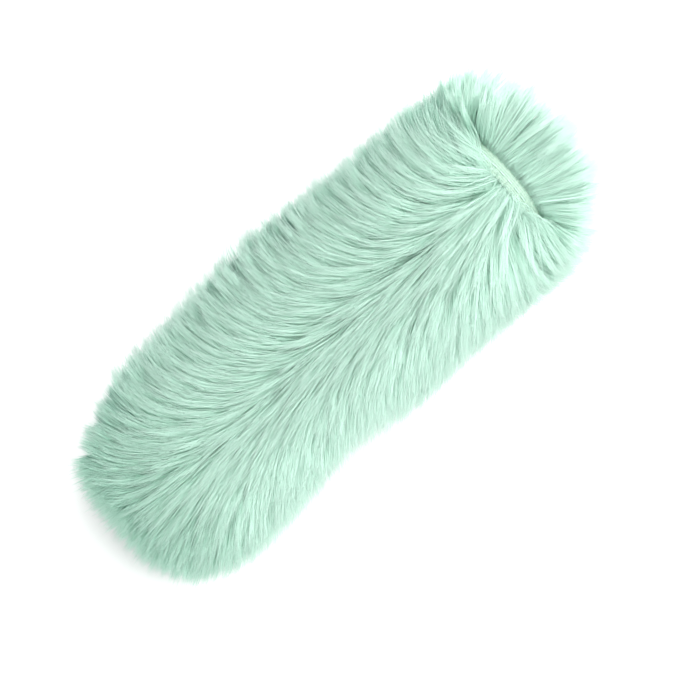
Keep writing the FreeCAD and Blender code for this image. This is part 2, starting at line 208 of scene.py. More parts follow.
# One field of fur. For each lock: its root, two directions along the cloth, its length, the
# function that bends it, its first direction, how far its strands draw together (0 to 1), the
# way to the middle of its tress, how far past the fur's outer surface it is left uncut, the
# least share of its length that a strand has, and where on the fibre's painted shading (dark
# roots, pale tips) its root starts: higher where light is painted, lower where shade is painted.
Field = namedtuple("Field", "roots frames lengths wanted starts clump tress uncut least tone")

GUARD_SHARE = 0.288  # of a loose lock's strands, these stand clear of it and soften the outline
GUARD_LEFT = (0.5 * mm, 3.5 * mm)  # how much more of a guard strand is left by the cut
UNEVEN = (-3.5 * mm, 2.5 * mm)  # how far short of the cut, or past it, a strand may end
STRAGGLING = 0.8 * mm  # the mean of what strands are left longer by, a few of them much longer
SWAY = 0.35 * mm  # how far a strand wavers to the side
LEAST_LEFT = 0.3  # share of its length that no strand is cut below


def coat(field, per_lock, root_spread, seed):
    """Strands of fur for a field of locks: their paths, the share of each that is kept, and
    the lock that each belongs to."""
    draw = np.random.default_rng(seed)
    guides = grow(field.roots, field.starts, field.wanted, field.lengths)
    u = np.linspace(0, 1, guides.shape[1])
    guides += field.tress[:, None] * (u ** 1.2)[None, :, None]
    count = len(field.roots) * per_lock
    owner = np.repeat(np.arange(len(field.roots)), per_lock)
    turn = draw.uniform(0, 2 * math.pi, count)
    reach = root_spread * np.sqrt(draw.uniform(0, 1, count))
    first, second = field.frames[0][owner], field.frames[1][owner]
    offset = first * (np.cos(turn) * reach)[:, None] + second * (np.sin(turn) * reach)[:, None]
    guard = draw.uniform(0, 1, count) < GUARD_SHARE * (1 - field.clump[owner])
    own_clump = field.clump[owner] * np.where(guard, 0, draw.uniform(0.55, 1.05, count))
    gather = 1 - own_clump[:, None] * u[None] ** 1.3
    wave = draw.normal(0, 1, (count, 2)) * SWAY
    phase = draw.uniform(0, 2 * math.pi, (count, 1))
    ripple = np.sin(u[None] * draw.uniform(1.5, 4, (count, 1)) + phase) - np.sin(phase)
    paths = guides[owner] + offset[:, None] * gather[..., None]
    sway = first * wave[:, :1] + second * wave[:, 1:]
    paths = paths + sway[:, None] * (ripple * u[None])[..., None]
    stray = draw.uniform(*UNEVEN, count) + draw.exponential(STRAGGLING, count)
    stray *= mix(1.15, 0.3, smooth(field.clump[owner], 0.4, 0.9))
    stray += np.where(guard, draw.uniform(*GUARD_LEFT, count), 0)
    share = mix(field.least[owner], 1, draw.uniform(0, 1, count))
    share = np.minimum(share, trimmed(paths, stray + field.uncut[owner]))
    return paths, share, owner


def trimmed(paths, stray):
    """The share of each path that is left when the fur is cut `stray` past its outer surface."""
    count, places = paths.shape[:2]
    spare, _ = headroom(paths.reshape(-1, 3))
    outside = spare.reshape(count, places) < -stray[:, None]
    outside |= np.abs(paths[..., 1]) > WIDEST
    first = np.where(outside.any(1), outside.argmax(1), places - 1)
    return np.maximum(first / (places - 1), LEAST_LEFT)


RINGS = np.array([0, 0.15, 0.34, 0.55, 0.78, 1.0])  # places along a strand, from root to tip
THICKNESS = np.array([0.75, 1.0, 1.0, 0.85, 0.6])  # share of its width at each but the tip


def resampled(paths, share):
    """Each path's points at RINGS, cut to its share of the whole length."""
    at = RINGS[None] * share[:, None] * (paths.shape[1] - 1)
    low = np.minimum(at.astype(int), paths.shape[1] - 2)
    rows = np.arange(len(paths))[:, None]
    part = (at - low)[..., None]
    return paths[rows, low] * (1 - part) + paths[rows, low + 1] * part


def needles(points, width):
    """Vertices and faces of three-sided needles along rows of points."""
    count, rings = points.shape[:2]
    ahead = unit(np.diff(points, axis=1))
    ahead = np.concatenate([ahead[:, :1], ahead], 1)
    out = outward(points.reshape(-1, 3)).reshape(points.shape)
    side = unit(np.cross(ahead, out))
    up = np.cross(side, ahead)
    vertices = np.empty((count, 3 * (rings - 1) + 1, 3))
    for corner in range(3):
        turn = 2 * math.pi * corner / 3 + math.pi / 2
        spoke = side * math.cos(turn) + up * math.sin(turn)
        reach = width[:, None] / 2 * THICKNESS[None]
        vertices[:, corner:-1:3] = points[:, :-1] + spoke[:, :-1] * reach[..., None]
    vertices[:, -1] = points[:, -1]
    quads = []
    for ring in range(rings - 2):
        for corner in range(3):
            a, b = 3 * ring + corner, 3 * ring + (corner + 1) % 3
            quads.append([a, b, b + 3, a + 3])
    last = 3 * (rings - 2)
    tip = 3 * (rings - 1)
    root_cap = [2, 1, 0]
    triangles = [[last, last + 1, tip], [last + 1, last + 2, tip], [last + 2, last, tip], root_cap]
    return vertices, np.array(quads), np.array(triangles)


def build_mesh(name, vertices, loops, sizes, material, uv):
    """An object from its vertices, its faces' corners in a row, each face's size and, for the
    corners, their places in the UV map."""
    mesh = bpy.data.meshes.new(name)
    mesh.vertices.add(len(vertices))
    mesh.vertices.foreach_set("co", vertices.ravel())
    mesh.loops.add(len(loops))
    mesh.loops.foreach_set("vertex_index", loops)
    mesh.polygons.add(len(sizes))
    mesh.polygons.foreach_set("loop_start", np.concatenate([[0], np.cumsum(sizes)[:-1]]))
    mesh.polygons.foreach_set("loop_total", sizes)
    mesh.polygons.foreach_set("use_smooth", np.ones(len(sizes), bool))
    layer = mesh.uv_layers.new(name="OFBake")
    layer.uv.foreach_set("vector", uv.ravel())
    mesh.update(calc_edges=True)
    mesh.validate()
    mesh.materials.append(material)
    piece = bpy.data.objects.new(name, mesh)
    bpy.context.collection.objects.link(piece)
    return piece


def strand_mesh(name, points, width, tint, tone, material):
    """One mesh of separate needles. Its UV holds each one's tint, and the place along the fibre's
    painted shading, dark at the root and pale at the tip, which starts where the strand's
    painted shading value sets it."""
    vertices, quads, triangles = needles(points, width)
    count, each = vertices.shape[:2]
    base = (np.arange(count) * each)[:, None]
    loops = np.concatenate([
        (quads.ravel()[None] + base).ravel(), (triangles.ravel()[None] + base).ravel()])
    sizes = np.concatenate([np.full(count * len(quads), 4), np.full(count * len(triangles), 3)])
    # Painted shade at the tips: strands that start low in the painted shading also end darker.
    tip = 1 + 0.25 * np.minimum(tone, 0)
    place = mix(tone[:, None], tip[:, None], np.append(np.repeat(RINGS[:-1], 3), 1.0)[None])
    place = place.clip(0.01, 0.99).ravel()
    across = np.repeat(tint, each)
    uv = np.stack([across[loops], place[loops]], 1)
    return build_mesh(name, vertices.reshape(-1, 3), loops, sizes, material, uv)


def put_on(piece, body, node):
    """The piece stands for a CAD node, which it hides, and moves with its body."""
    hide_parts(node)
    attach(piece, body)


# ------------------------------------------------------------------ materials


def new_material(name, **sockets):
    material = bpy.data.materials.new(name)
    material.use_nodes = True
    shader = material.node_tree.nodes["Principled BSDF"]
    for socket, value in sockets.items():
        shader.inputs[socket.replace("_", " ")].default_value = value
    return material, material.node_tree, shader


def ramp(tree, stops):
    node = tree.nodes.new("ShaderNodeValToRGB")
    line = node.color_ramp.elements
    while len(line) < len(stops):
        line.new(0.5)
    for element, (place, colour) in zip(line, stops):
        element.position = place
        element.color = (*colour, 1)
    return node


def fur_material():
    material, tree, shader = new_material("fur_fibre", Roughness=0.5, Sheen_Weight=0.1,
                                          Sheen_Roughness=0.4, Specular_IOR_Level=0.35)
    shader.inputs["Sheen Tint"].default_value = (0.85, 1.0, 0.94, 1)
    uv = tree.nodes.new("ShaderNodeUVMap")
    uv.uv_map = "OFBake"
    split = tree.nodes.new("ShaderNodeSeparateXYZ")
    tree.links.new(uv.outputs["UV"], split.inputs[0])
    # Painted shade along each fibre: darkest at the root, where shade falls deep between the
    # hairs, and palest at the tip.
    along = ramp(tree, [(0.0, (0.19, 0.42, 0.33)), (0.35, (0.47, 0.77, 0.63)),
                        (0.75, (0.63, 0.87, 0.755)), (1.0, (0.70, 0.885, 0.80))])
    tint = ramp(tree, [(0.0, (0.88, 0.92, 0.91)), (0.5, (0.97, 0.98, 0.98)), (1.0, (1, 1, 1))])
    tree.links.new(split.outputs["Y"], along.inputs[0])
    tree.links.new(split.outputs["X"], tint.inputs[0])
    blend = tree.nodes.new("ShaderNodeMix")
    blend.data_type = "RGBA"
    blend.blend_type = "MULTIPLY"
    blend.inputs["Factor"].default_value = 1
    tree.links.new(along.outputs["Color"], blend.inputs["A"])
    tree.links.new(tint.outputs["Color"], blend.inputs["B"])
    tree.links.new(blend.outputs["Result"], shader.inputs["Base Color"])
    return material


FUR = fur_material()

# ------------------------------------------------------------------ the three furs


ROW_SPACING = 0.866  # of rows of evenly spaced roots, as a share of the roots' own spacing
JITTER = 0.35  # how far a root is from its even place, as a share of the spacing


def cloth_grid(width, length, spacing, seed):
    """Jittered places over a width by length rectangle, every other row half a step along."""
    draw = np.random.default_rng(seed)
    rows = max(int(length / (spacing * ROW_SPACING)), 1)
    columns = max(int(width / spacing), 1)
    row, column = np.meshgrid(np.arange(rows), np.arange(columns), indexing="ij")
    across = (column + 0.5 * (row % 2) + draw.uniform(-JITTER, JITTER, row.shape)) / columns
    along = (row + 0.5 + draw.uniform(-JITTER, JITTER, row.shape)) / rows
    return across.ravel() % 1.0, along.ravel()


def on_cloth(x, angle):
    return np.stack([x, -CLOTH_R * np.sin(angle), AXIS_Z + CLOTH_R * np.cos(angle)], 1)


def tresses(x, angle, size, seed):
    """For places on the tube, the middle of the tress that each belongs to, and a number from
    -1 to 1 that the whole tress shares."""
    draw = np.random.default_rng(seed)
    rows = int((BAND_X - CLOTH_END_X) / size) + 2
    columns = int(2 * math.pi * CLOTH_R / size)
    shift = draw.uniform(0.2, 0.8, (rows, columns, 2))
    shared = draw.uniform(-1, 1, (rows, columns))
    across = (angle / (2 * math.pi) % 1.0) * columns
    along = (x - CLOTH_END_X) / size
    row = np.clip(along.astype(int), 0, rows - 1)
    column = np.clip(across.astype(int), 0, columns - 1)
    middle = shift[row, column]
    middle_x = (row + middle[:, 0]) * size + CLOTH_END_X
    middle_angle = (column + middle[:, 1]) / columns * 2 * math.pi
    return on_cloth(middle_x, middle_angle), shared[row, column]


def tube_outline(x, angle):
    """For places on the tube: how much longer than the rest their fur is, and how far past the
    fur's outer surface it is left uncut. The sleeve bulges in the middle of its left side (+Y),
    has a waist on its right, widens there towards the frill and narrows to the closed end."""
    left = np.maximum(-np.sin(angle), 0)
    right = np.maximum(np.sin(angle), 0)
    bulge = left * hump(x, -12 * mm, 38 * mm)
    near_frill = right * hump(x, 80 * mm, 28 * mm)
    longer = 1 + 0.26 * bulge + 0.16 * near_frill
    uncut = (1.6 * mm + bulge * 6.5 * mm + near_frill * 8.5 * mm
             + right * 2.5 * mm * hump(x, 18 * mm, 14 * mm)
             - right * 6.4 * mm * hump(x, -24 * mm, 34 * mm)
             - (3.5 + 4.5 * left) * mm * smooth(-x, 82 * mm, 105 * mm))
    return longer, uncut


LOCK_SPACING = 2.2 * mm
TRESS_SIZE = 4.6 * mm


def body_coat():
    """The tube's fur, combed back from the mouth and down both sides of the parting."""
    across, along = cloth_grid(2 * math.pi * CLOTH_R, BAND_X - CLOTH_END_X, LOCK_SPACING, 1)
    draw = np.random.default_rng(2)
    angle = across * 2 * math.pi
    x = mix(CLOTH_END_X, BAND_X - 0.5 * mm, along)
    roots = on_cloth(x, angle)
    off, onward = off_parting(roots)
    frames = (np.tile([1.0, 0, 0], (len(roots), 1)), onward)
    count = len(roots)

    # Zones of the tube, as shares from 0 to 1.
    river = hump(off, 0, math.radians(30))
    flank = turned_past(off, 30, 94)
    underneath = -2.7
    beside = -1.7
    shaded = smooth(-off, math.radians(28), math.radians(74)) * smooth(off, underneath, beside)
    near_end = smooth(-x, 55 * mm, 105 * mm)
    mouth = smooth(x, BAND_X - 26 * mm, BAND_X)
    edge = smooth(x, BAND_X - 7 * mm, BAND_X - 2 * mm)
    parted = 1 - hump(off, WEDGE, WEDGE_WIDTH)
    bristling = mouth * turned_past(off, 26, 60) * parted
    over_band = smooth(x, BAND_X - 14 * mm, BAND_X) * turned_past(off, 26, 46) * parted
    turning = edge * parted * (1 - 0.4 * river)

    # On the shaded side the locks gather into tresses, long ones painted pale and short, low ones
    # painted with shade.
    eddies = (0.07 * np.sin(x / (13 * mm) + 2 * np.sin(angle * 3))
              + 0.04 * np.sin(angle * 11 + x / (7 * mm)))
    swirl = eddies * (1 - 0.7 * river) + draw.normal(0, 0.06, count)
    middles, tress_shared = tresses(x, angle, TRESS_SIZE, 5)
    tress = (middles - roots) * (mix(0.12, 1.0, shaded) * (1 - 0.9 * mouth))[:, None]
    lift = draw.normal(1.0, mix(0.08, 0.15, shaded), count) + 0.6 * tress_shared * shaded
    lift = lift.clip(0.5, 1.6)
    clump = mix(0.24 - 0.06 * river, 0.92, shaded)
    least = mix(0.66, 0.85, shaded)
    lengths = mix(31, 44, smooth(x, CLOTH_END_X, CLOTH_END_X + 45 * mm)) * mm
    varied = draw.normal(1.0, 0.04, count) + 0.2 * tress_shared * shaded
    longer, uncut = tube_outline(x, angle)
    lengths = lengths * varied.clip(0.75, 1.25) * longer
    uncut = uncut + 2.4 * mm * tress_shared * shaded
    # Painted light and shade on the tube's fur: painted paler along the parting and near the
    # mouth, painted darker on the shaded side, on the lit side's flank, in the shadowed wedge by
    # the elastic and towards the closed end.
    tone = (0.45 + 0.2 * river + 0.2 * mouth * (1 - flank) - (1.6 - 2.3 * tress_shared) * shaded
            - 0.4 * (1 - shaded) * flank - 1.4 * (1 - parted) * edge - 0.9 * near_end)

    def wanted(points, u):
        rise = mix(0.85, 0.32, u) * lift * mix(1.0, 2.5, flank) * mix(1.0, 1.5, bristling)
        rise = rise * (1 - 0.7 * (1 - parted) * edge)
        down = np.array([0, 0, -1.0]) * 0.12 * u
        lapping = 2.6 * turning * max(0.0, 1 - 5 * u)
        ahead = np.array([1.0, 0, 0]) * (0.5 * bristling + 1.1 * over_band + lapping)[:, None]
        return unit(outward(points) * rise[:, None] + nap(points, swirl) + ahead + down)

    starts = outward(roots) * (1.3 * lift)[:, None] + nap(roots, swirl)
    starts[:, 0] += 0.7 * mouth + 1.6 * turning * smooth(BAND_X - x, 0, 1.8 * mm)
    return Field(roots, frames, lengths, wanted, starts, clump, tress, uncut, least, tone)


def end_coat():
    """The round end: locks in a spiral on the disc, fanning out from its middle."""
    draw = np.random.default_rng(3)
    radius = CLOTH_R - CLOTH_THICK
    spacing = 2.3 * mm
    count = int(math.pi * radius ** 2 / (spacing ** 2 * ROW_SPACING))
    number = np.arange(count) + 0.5
    reach = radius * np.sqrt(number / count)
    golden_angle = math.pi * (3 - math.sqrt(5))
    angle = number * golden_angle
    roots = np.stack([
        np.full(count, CLOTH_END_X), -reach * np.sin(angle), AXIS_Z + reach * np.cos(angle)], 1)
    frames = (np.tile([0, 1.0, 0], (count, 1)), np.tile([0, 0, 1.0], (count, 1)))
    lengths = mix(22, 31, (reach / radius) ** 2) * mm * draw.normal(1, 0.07, count).clip(0.8, 1.2)
    swirl = draw.normal(0, 0.12, (count, 3))
    uncut = -(3.0 + 1.2 * np.maximum(-np.sin(angle), 0)) * mm

    def wanted(points, u):
        spread = outward(points)
        away = np.array([-1.0, 0, 0])
        down = np.array([0, 0, -1.0]) * (0.1 + 0.3 * u)
        return unit(spread + away * 0.35 + down + swirl)

    starts = np.array([-1.0, 0, 0]) + outward(roots) * 0.5
    # The round end's fur is painted darker all over: painted shade at the closed end.
    return Field(roots, frames, lengths, wanted, starts, clump=np.full(count, 0.55),
                 tress=np.zeros((count, 3)), uncut=uncut, least=np.full(count, 0.66),
                 tone=np.full(count, -0.8))


def frill_coat():
    """The hem's fur past the elastic: it starts square to the fold and fans out forwards."""
    draw = np.random.default_rng(4)
    rows, columns = 9, 110
    row, column = np.meshgrid(np.arange(rows), np.arange(columns), indexing="ij")
    across = (column + 0.5 * (row % 2) + draw.uniform(-JITTER, JITTER, row.shape)) / columns
    angle = across.ravel() * 2 * math.pi
    back = ((row.ravel() + draw.uniform(-0.3, 0.3, row.size)) / (rows - 1)).clip(0, 1)
    fold = np.radians(mix(8, 92, back))
    radial = np.stack([np.zeros(len(angle)), -np.sin(angle), np.cos(angle)], 1)
    roots = radial * (CLOTH_R - FOLD_R + FOLD_R * np.sin(fold))[:, None]
    roots[:, 0] = HEM_X - FOLD_R + FOLD_R * np.cos(fold)
    roots[:, 2] += AXIS_Z
    off, onward = off_parting(roots)
    ahead = np.tile([1.0, 0, 0], (len(roots), 1))
    count = len(roots)
    gap = hump(off, WEDGE, WEDGE_WIDTH)
    side = turned_past(off, 22, 66) * (1 - 0.8 * gap)
    flare = np.radians(mix(4, mix(34, 102, side), back ** 0.8)) + draw.normal(0, 0.10, count)
    lengths = mix(40, 31, back * side) * mm * draw.normal(1.0, 0.07, count).clip(0.8, 1.15)
    aside = 0.12 * np.sin(angle * 9) + draw.normal(0, 0.09, count)

    def wanted(points, u):
        out = outward(points)
        tilt = flare * mix(1.1, 0.9, u)
        down = np.array([0, 0, -1.0]) * 0.08 * u
        way = ahead * np.cos(tilt)[:, None] + out * np.sin(tilt)[:, None]
        return unit(way + onward * aside[:, None] + down)

    starts = ahead * np.cos(flare)[:, None] + radial * np.sin(fold * mix(0.85, 1, side))[:, None]
    uncut = (0.5 + 10 * np.cos(angle) ** 2 + 3.5 * np.maximum(np.sin(angle), 0)) * mm
    # Painted light and shade on the frill: its top painted paler, its sides darker, and painted
    # shade in the wedge where it stands apart from the tube's fur.
    tone = mix(0.75, 0.3, side) - 1.4 * gap * back
    return Field(roots, (onward, ahead), lengths, wanted, starts, clump=np.full(count, 0.3),
                 tress=np.zeros((count, 3)), uncut=uncut, least=np.full(count, 0.75), tone=tone)


def keep_off(points):
    """Moves points out of the floor, out of the elastic and, past the hem, out of the foam
    core's way."""
    points[..., 2] = np.maximum(points[..., 2], FLOOR_GAP)
    radius = np.hypot(points[..., 1], points[..., 2] - AXIS_Z)
    band_back = BAND_X - 0.3 * mm
    band_front = band_high[0] + 0.2 * mm
    at_band = (points[..., 0] > band_back) & (points[..., 0] < band_front)
    least = np.where(points[..., 0] > HEM_X, CLEAR_R, np.where(at_band, OVER_BAND_R, 0))
    grown = np.maximum(least / radius, 1)
    points[..., 1] *= grown
    points[..., 2] = AXIS_Z + (points[..., 2] - AXIS_Z) * grown


def make_fur(name, field, per_lock, root_spread, seed, parts, node, width=0.17 * mm):
    """The strands of a field, as `parts` pieces that stand for one pile solid. Each piece has
    those with their roots in one stretch of the sleeve."""
    paths, share, owner = coat(field, per_lock, root_spread, seed)
    points = resampled(paths, share)
    keep_off(points)
    draw = np.random.default_rng(seed + 100)
    count = len(points)
    thickness = width * draw.uniform(0.7, 1.3, count)
    lock_tint = draw.uniform(0, 1, len(field.roots))
    tint = np.clip(0.5 * lock_tint[owner] + 0.5 * draw.uniform(0, 1, count), 0.01, 0.99)
    order = np.argsort(points[:, 0, 0], kind="stable")
    for number, chosen in enumerate(np.array_split(order, parts), start=1):
        piece = strand_mesh(f"{name}_{number:02d}", points[chosen], thickness[chosen],
                            tint[chosen], field.tone[owner[chosen]], FUR)
        put_on(piece, "fur_cover", node)


make_fur("fur_body", body_coat(), per_lock=12, root_spread=2.0 * mm, seed=11, parts=17,
         node="body_pile")
make_fur("fur_end", end_coat(), per_lock=13, root_spread=2.0 * mm, seed=12, parts=2,
         node="end_pile")
make_fur("fur_frill", frill_coat(), per_lock=21, root_spread=1.7 * mm, seed=13, parts=3,
         node="frill_pile", width=0.2 * mm)

# ------------------------------------------------------------------ turned and netted meshes


def grid(rows, columns, ring):
    """Quads over a grid of points that is closed across its columns and, for a ring, across its
    rows too. With them, their places in the UV map."""
    row, column = np.meshgrid(np.arange(rows if ring else rows - 1), np.arange(columns),
                              indexing="ij")
    row = row.ravel()[:, None] + [0, 0, 1, 1]
    column = column.ravel()[:, None] + [0, 1, 1, 0]
    faces = (row % rows) * columns + column % columns
    return faces, np.stack([column / columns, row / rows], -1)


AXIS_HOLE_R = 0.2 * mm  # where a turned solid meets the axis, it ends in a round this small
ARC_STEP = 15  # degrees


def outline(stops):
    """Points along straight runs. A stop is its x, its radius and the spacing of the points on
    the run after it."""
    line = []
    for (x, radius, spacing), (next_x, next_radius, _) in zip(stops, stops[1:]):
        count = max(round(math.hypot(next_x - x, next_radius - radius) / spacing), 1)
        for step in range(count):
            line.append((mix(x, next_x, step / count), mix(radius, next_radius, step / count)))
    line.append(stops[-1][:2])
    return np.array(line)


def bend(x, radius, size, start, end, spacing):
    """Stops along an arc about (x, radius), between two angles in degrees from the x axis."""
    steps = max(round(abs(end - start) / ARC_STEP), 2)
    turns = np.radians(np.linspace(start, end, steps + 1))
    return [(x + size * math.cos(turn), radius + size * math.sin(turn), spacing)
            for turn in turns]


def turned(name, line, columns, ring, relief, material):
    """An outline turned round the sleeve's axis, with relief(points) raised from its surface. A
    ring's outline closes on itself; the others start and end near the axis."""
    if ring:
        step = unit(np.roll(line, -1, 0) - np.roll(line, 1, 0))
    else:
        step = unit(np.gradient(line, axis=0))
    angle = np.arange(columns) / columns * 2 * math.pi
    ahead = np.array([1.0, 0, 0])
    spoke = np.stack([np.zeros(columns), -np.sin(angle), np.cos(angle)], 1)
    points = line[:, :1, None] * ahead + line[:, 1:, None] * spoke
    out = step[:, :1, None] * spoke - step[:, 1:, None] * ahead
    vertices = (points + out * relief(points)[..., None] + [0, 0, AXIS_Z]).reshape(-1, 3)
    faces, uv = grid(len(line), columns, ring)
    loops, sizes, uv = faces.ravel(), np.full(len(faces), 4), uv.reshape(-1, 2)
    if not ring:
        around_axis = np.arange(columns)
        caps = [around_axis[::-1], around_axis + (len(line) - 1) * columns]
        loops = np.concatenate([loops, *caps])
        sizes = np.append(sizes, [columns, columns])
        uv = np.concatenate([uv, np.full((2 * columns, 2), 0.5)])
    return build_mesh(name, vertices, loops, sizes, material, uv)


CORNERS = np.radians(np.arange(6) * 60 + 30)
MERGE = 0.05 * mm  # corners of the net closer than this are one


def net_cells(width, length, side, thread, ring):
    """A flat net of hexagonal holes, width by length, as points and quads. A ring's net joins up
    across its width; the holes leave threads of one thickness."""
    columns = round(width / (side * math.sqrt(3)))
    step = width / columns
    rows = int(length / (1.5 * side)) + (0 if ring else 1)
    row, column = np.meshgrid(np.arange(rows), np.arange(columns), indexing="ij")
    across = ((column + 0.5 * (row % 2)) * step).ravel()[:, None]
    along = ((row + 0.5) * length / rows).ravel()[:, None]
    hole = 1 - thread / step
    rim_x = across + step / math.sqrt(3) * np.cos(CORNERS)
    rim_y = along + length / rows / 1.5 * np.sin(CORNERS)
    hole_x = across + step / math.sqrt(3) * hole * np.cos(CORNERS)
    hole_y = along + length / rows / 1.5 * hole * np.sin(CORNERS)
    corners_x = np.concatenate([rim_x, hole_x], 1)
    corners_y = np.concatenate([rim_y, hole_y], 1)
    points = np.stack([corners_x, corners_y], -1)
    first = np.arange(6)
    after = (first + 1) % 6
    quads = np.stack([first, after, after + 6, first + 6], 1)
    quads = (quads[None] + np.arange(rows * columns)[:, None, None] * 12).reshape(-1, 4)
    points = points.reshape(-1, 2)
    key = np.round(points / MERGE).astype(int)
    if ring:
        key[:, 0] %= round(width / MERGE)
    _, kept, same = np.unique(key, axis=0, return_index=True, return_inverse=True)
    return points[kept], same.reshape(-1)[quads]


def both_sides(name, outer, inner, quads, flat, material):
    """A thin closed sheet: its two faces, and a wall along every open edge."""
    count = len(outer)
    starts, ends = quads.ravel(), np.roll(quads, -1, 1).ravel()
    free = ~np.isin(starts * count + ends, ends * count + starts)
    starts, ends = starts[free], ends[free]
    walls = np.stack([ends, starts, starts + count, ends + count], 1)
    faces = np.concatenate([quads, quads[:, ::-1] + count, walls])
    place = (flat - flat.min(0)) / (flat.max(0) - flat.min(0))
    uv = np.concatenate([place, place])[faces.ravel()]
    vertices = np.concatenate([outer, inner])
    return build_mesh(name, vertices, faces.ravel(), np.full(len(faces), 4), material, uv)


def pits(points, size, depth, seed):
    """Depths of the round cells of a foam, one at a random place in each cube of a grid."""
    repeat = 16
    table = np.random.default_rng(seed).uniform(0, 1, (repeat, repeat, repeat, 3))
    place = points / size
    cube = np.floor(place).astype(int)
    nearest = np.full(points.shape[:-1], np.inf)
    for step in itertools.product((-1, 0, 1), repeat=3):
        beside = cube + step
        cell = beside % repeat
        middle = beside + table[cell[..., 0], cell[..., 1], cell[..., 2]]
        nearest = np.minimum(nearest, np.linalg.norm(middle - place, axis=-1))
    return -depth * (1 - smooth(nearest, 0.15, 0.62))


# ------------------------------------------------------------------ finishes of the other pieces


def textured(name, tones, kind, output, settings, relief, **sockets):
    """A material whose colour and bumps both follow one texture; tones are its ramp's stops."""
    material, tree, shader = new_material(name, **sockets)
    place = tree.nodes.new("ShaderNodeTexCoord")
    texture = tree.nodes.new(kind)
    for setting, value in settings.items():
        texture.inputs[setting].default_value = value
    tree.links.new(place.outputs["Object"], texture.inputs["Vector"])
    colours = ramp(tree, tones)
    tree.links.new(texture.outputs[output], colours.inputs[0])
    tree.links.new(colours.outputs["Color"], shader.inputs["Base Color"])
    bump = tree.nodes.new("ShaderNodeBump")
    bump.inputs["Strength"].default_value = 0.5
    bump.inputs["Distance"].default_value = relief
    tree.links.new(texture.outputs[output], bump.inputs["Height"])
    tree.links.new(bump.outputs["Normal"], shader.inputs["Normal"])
    return material


NOISE = ("ShaderNodeTexNoise", "Fac")


def elastic_finish():
    return textured("elastic_braid", [(0.3, (0.24, 0.38, 0.30)), (0.7, (0.36, 0.50, 0.40))],
                    *NOISE, {"Scale": 900, "Detail": 3}, 0.1 * mm,
                    Roughness=0.6, Sheen_Weight=0.2)


def knit_finish():
    return textured("backing_knit", [(0.3, (0.40, 0.62, 0.52)), (0.7, (0.56, 0.76, 0.66))],
                    *NOISE, {"Scale": 1400, "Detail": 4}, 0.08 * mm,
                    Roughness=0.85, Sheen_Weight=0.3)


def net_finish():
    return textured("lining_net", [(0.3, (0.62, 0.68, 0.65)), (0.7, (0.78, 0.83, 0.80))],
                    *NOISE, {"Scale": 2200, "Detail": 2}, 0.05 * mm,
                    Roughness=0.55, Sheen_Weight=0.2)


def thread_finish():
    settings = {"Scale": 900, "Distortion": 1.5, "Detail": 1}
    return textured("thread_twist", [(0.2, (0.34, 0.52, 0.44)), (0.8, (0.60, 0.80, 0.71))],
                    "ShaderNodeTexWave", "Fac", settings, 0.06 * mm,
                    Roughness=0.4, Sheen_Weight=0.3)


def foam_finish():
    greys = [(0.0, (0.006, 0.006, 0.007)), (0.45, (0.020, 0.021, 0.023)),
             (1.0, (0.045, 0.047, 0.050))]
    return textured("open_cell_foam", greys, "ShaderNodeTexVoronoi", "Distance",
                    {"Scale": 1300}, 0.25 * mm, Roughness=0.95)


def rubber_finish():
    blacks = [(0.3, (0.008, 0.0085, 0.009)), (0.7, (0.014, 0.0145, 0.0155))]
    return textured("moulded_rubber", blacks, *NOISE, {"Scale": 700, "Detail": 5}, 0.05 * mm,
                    Roughness=0.42)


def glue_finish():
    return textured("dried_glue", [(0.3, (0.50, 0.44, 0.28)), (0.7, (0.68, 0.62, 0.44))],
                    *NOISE, {"Scale": 260, "Detail": 3}, 0.2 * mm,
                    Roughness=0.3, Coat_Weight=0.3)


def finish_nodes(material, nodes):
    for node in nodes:
        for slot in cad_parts[node].material_slots:
            slot.material = material


THREAD_NODES = ("elastic_stitches", "hem_stitches", "lining_hem_stitches", "end_seam_stitches",
                "lining_end_stitches", "side_seam_stitches", "lining_side_stitches",
                "elastic_bar_tack")
finish_nodes(thread_finish(), THREAD_NODES)
finish_nodes(rubber_finish(), ["mic_boot"])
finish_nodes(glue_finish(), ["nose_glue", "boot_glue"])

# ------------------------------------------------------------------ elastic, backing and lining


